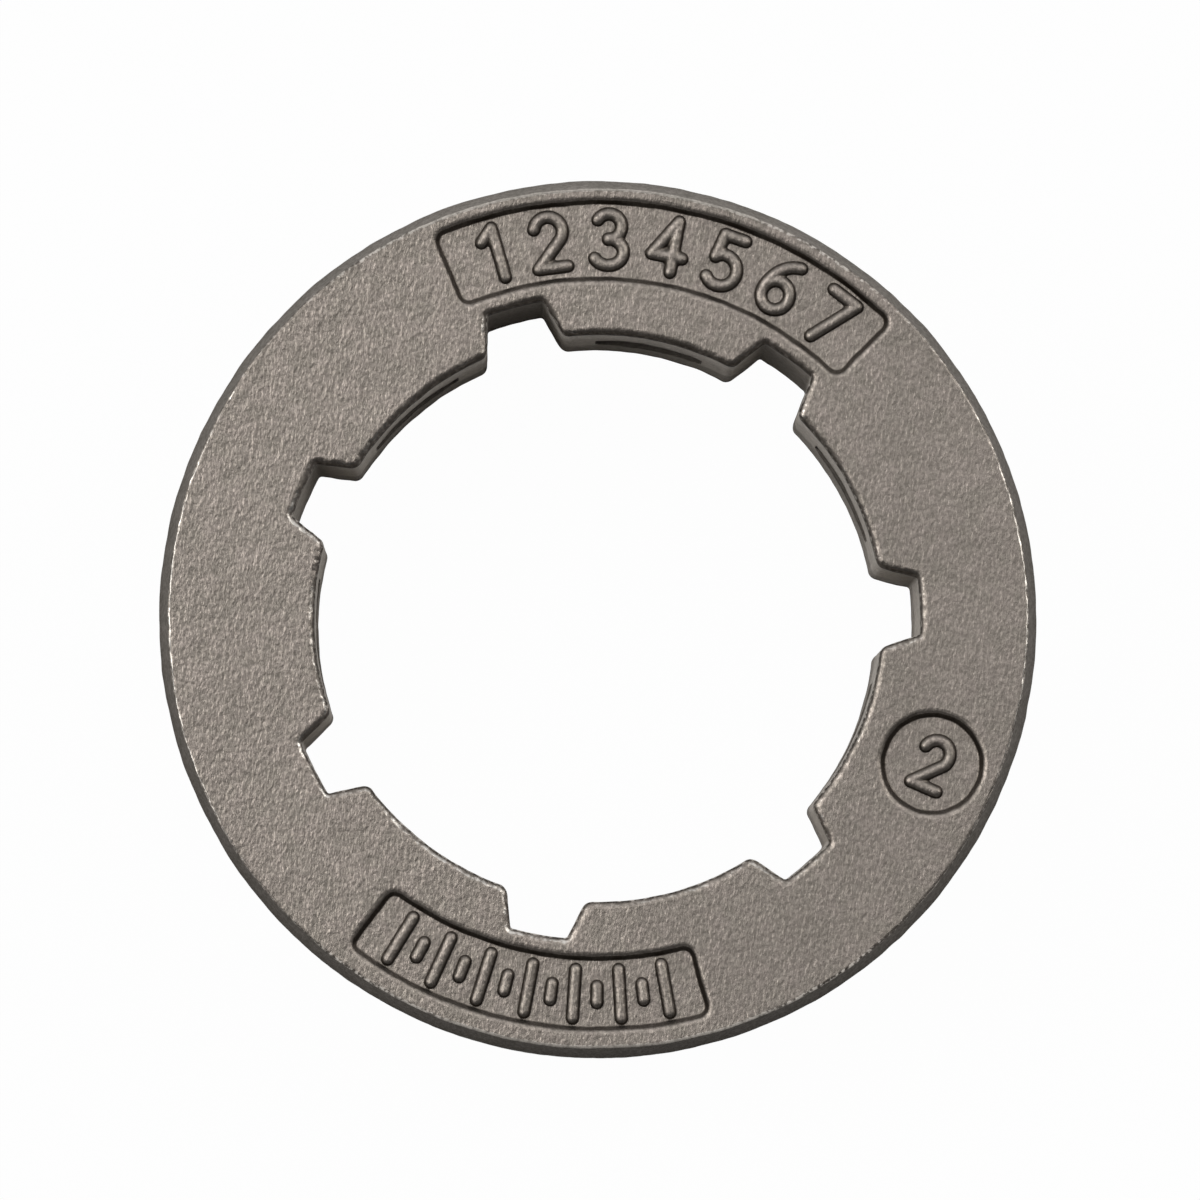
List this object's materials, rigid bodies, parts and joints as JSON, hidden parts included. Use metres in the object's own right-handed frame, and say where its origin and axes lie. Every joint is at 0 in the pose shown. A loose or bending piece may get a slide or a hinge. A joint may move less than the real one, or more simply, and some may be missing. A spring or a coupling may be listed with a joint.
{
  "type": "rim sprocket",
  "caption": "Cast rim sprocket for a saw chain: bevelled flanges on either side of a toothed wheel with open drive-link pockets, and a notched spline bore that slides on a drum's hub.",
  "frame": {"origin": "on the bore's axis, in the plane of the plain face that the part lies on", "axes": "+Z along the bore's axis, from the plain face to the marked face; -Y through the notch at the middle of the short panel"},
  "size_m": [0.0344, 0.0344, 0.012],
  "materials": {
    "cast_steel": "fine blasted casting, satin, with burnished edges"
  },
  "bodies": {
    "root": {"rim_sprocket": "cast_steel"}
  },
  "joints": []
}
